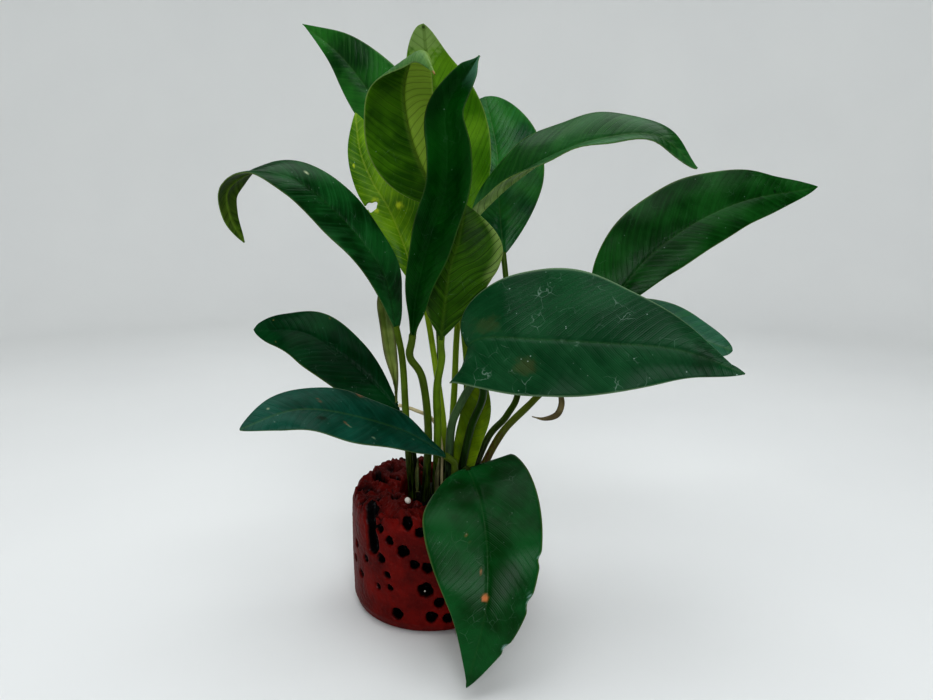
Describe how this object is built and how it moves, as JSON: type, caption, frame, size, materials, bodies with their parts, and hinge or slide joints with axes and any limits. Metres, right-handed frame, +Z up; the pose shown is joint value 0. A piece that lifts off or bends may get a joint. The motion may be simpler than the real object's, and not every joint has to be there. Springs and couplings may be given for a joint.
{
  "type": "water plant on a stone",
  "caption": "Broad-leaved water plant with arching, upright and drooping leaves on slender stems, its crown seated in the hollow of a pitted red cylindrical stone.",
  "frame": {"origin": "middle of the stone's flat base, where it rests", "axes": "+Z up, -Y towards the picture's viewer, +X to the viewer's right"},
  "size_m": [0.2384, 0.1189, 0.2326],
  "materials": {
    "leaf": "smooth living leaf, half gloss",
    "stem": "smooth living stem, half gloss",
    "dry": "dried leaf tissue, matt",
    "rhizome": "dark woody rhizome, matt",
    "stone": "wet pitted red stone, half gloss"
  },
  "bodies": {
    "root": {"stone": "stone", "rhizome": "rhizome", "leaf_upper_left": "leaf", "stem_upper_left": "stem", "leaf_pale_tip": "leaf", "stem_pale_tip": "stem", "leaf_cupped": "leaf", "stem_cupped": "stem", "leaf_folded_upright": "leaf", "stem_folded_upright": "stem", "leaf_yellow_green": "leaf", "stem_yellow_green": "stem", "leaf_middle": "leaf", "stem_middle": "stem", "leaf_right_arching": "leaf", "stem_right_arching": "stem", "leaf_back_right": "leaf", "stem_back_right": "stem", "leaf_left_arching": "leaf", "stem_left_arching": "stem", "leaf_lower_left": "leaf", "stem_lower_left": "stem", "leaf_middle_left": "leaf", "stem_middle_left": "stem", "leaf_broad_right": "leaf", "stem_broad_right": "stem", "leaf_far_right": "leaf", "stem_far_right": "stem", "leaf_tucked_right": "leaf", "stem_tucked_right": "stem", "leaf_front_drooping": "leaf", "stem_front_drooping": "stem", "young_leaf": "leaf", "withered_leaf": "dry", "dried_bract": "dry", "left_sheath": "dry", "front_sheath": "dry", "withered_stalk": "dry"}
  },
  "joints": []
}
